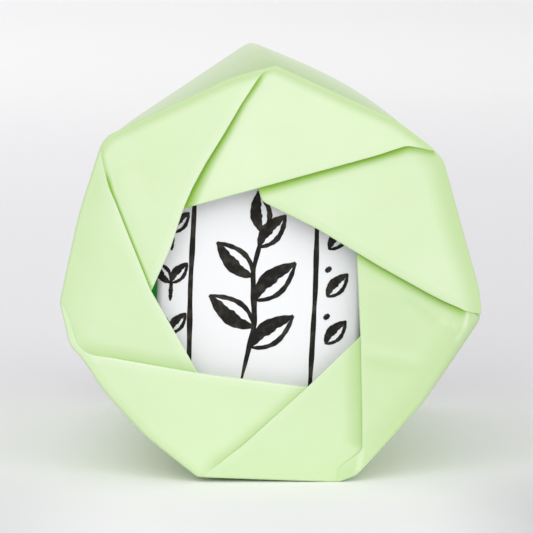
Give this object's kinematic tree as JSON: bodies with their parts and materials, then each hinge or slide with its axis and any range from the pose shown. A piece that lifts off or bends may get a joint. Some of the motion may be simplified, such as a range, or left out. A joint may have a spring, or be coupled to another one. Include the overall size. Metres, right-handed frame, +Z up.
{
  "type": "tea caddy",
  "caption": "Round tea tin with a slip lid and inner lid, lying in a pleated paper wrapper whose folded end leaves a window on the lid's label.",
  "frame": {"origin": "middle of the object's footprint, on the surface that the wrapper's lowest facet lies on", "axes": "+Z up; +Y along the tin's axis from the lid to the base; +X to the right, seen from the lid"},
  "size_m": [0.0698, 0.0834, 0.0681],
  "materials": {
    "wrapper_paper": "matte",
    "label_paper": "matte",
    "lid_lacquer": "gloss",
    "bare_tinplate": "satin",
    "knob_brass": "satin"
  },
  "bodies": {
    "wrapper": {"wrapper_sleeve": "wrapper_paper"},
    "flap_1": {"wrapper_flap_1": "wrapper_paper"},
    "flap_2": {"wrapper_flap_2": "wrapper_paper"},
    "flap_3": {"wrapper_flap_3": "wrapper_paper"},
    "flap_4": {"wrapper_flap_4": "wrapper_paper"},
    "flap_5": {"wrapper_flap_5": "wrapper_paper"},
    "flap_6": {"wrapper_flap_6": "wrapper_paper"},
    "flap_7": {"wrapper_flap_7": "wrapper_paper"},
    "lid": {"lid_shell": "lid_lacquer", "lid_label": "label_paper"},
    "inner_lid": {"inner_lid": "bare_tinplate", "inner_lid_knob": "knob_brass", "inner_lid_washer": "knob_brass"},
    "canister": {"neck_sleeve": "bare_tinplate", "canister_wall": "lid_lacquer", "canister_base": "bare_tinplate"}
  },
  "joints": [
    {"name": "flap_1_fold", "type": "hinge", "parent": "wrapper", "child": "flap_1", "pos_m": [0.01384, -0.04125, 0.06114], "axis": [-0.901, 0, 0.4339], "range_deg": [0, 90]},
    {"name": "flap_2_fold", "type": "hinge", "parent": "wrapper", "child": "flap_2", "pos_m": [0.0311, -0.04125, 0.0395], "axis": [-0.2225, 0, 0.9749], "range_deg": [0, 90]},
    {"name": "flap_3_fold", "type": "hinge", "parent": "wrapper", "child": "flap_3", "pos_m": [0.02494, -0.04125, 0.01251], "axis": [0.6235, 0, 0.7818], "range_deg": [0, 90]},
    {"name": "flap_4_fold", "type": "hinge", "parent": "wrapper", "child": "flap_4", "pos_m": [0, -0.04125, 0.0005], "axis": [1, 0, 0], "range_deg": [0, 90]},
    {"name": "flap_5_fold", "type": "hinge", "parent": "wrapper", "child": "flap_5", "pos_m": [-0.02494, -0.04125, 0.01251], "axis": [0.6235, 0, -0.7818], "range_deg": [0, 90]},
    {"name": "flap_6_fold", "type": "hinge", "parent": "wrapper", "child": "flap_6", "pos_m": [-0.0311, -0.04125, 0.0395], "axis": [-0.2225, 0, -0.9749], "range_deg": [0, 90]},
    {"name": "flap_7_fold", "type": "hinge", "parent": "wrapper", "child": "flap_7", "pos_m": [-0.01384, -0.04125, 0.06114], "axis": [-0.901, 0, -0.4339], "range_deg": [0, 90]},
    {"name": "tin_slide", "type": "slide", "parent": "wrapper", "child": "lid", "axis": [0, 1, 0], "range_m": [0, 0.09]},
    {"name": "lid_pull", "type": "slide", "parent": "lid", "child": "inner_lid", "axis": [0, 1, 0], "range_m": [0, 0.04]},
    {"name": "inner_lid_pull", "type": "slide", "parent": "inner_lid", "child": "canister", "axis": [0, 1, 0], "range_m": [0, 0.04]}
  ],
  "couplings": [
    {"joint": "flap_2_fold", "follows": "flap_1_fold", "ratio": 1},
    {"joint": "flap_3_fold", "follows": "flap_1_fold", "ratio": 1},
    {"joint": "flap_4_fold", "follows": "flap_1_fold", "ratio": 1},
    {"joint": "flap_5_fold", "follows": "flap_1_fold", "ratio": 1},
    {"joint": "flap_6_fold", "follows": "flap_1_fold", "ratio": 1},
    {"joint": "flap_7_fold", "follows": "flap_1_fold", "ratio": 1}
  ]
}
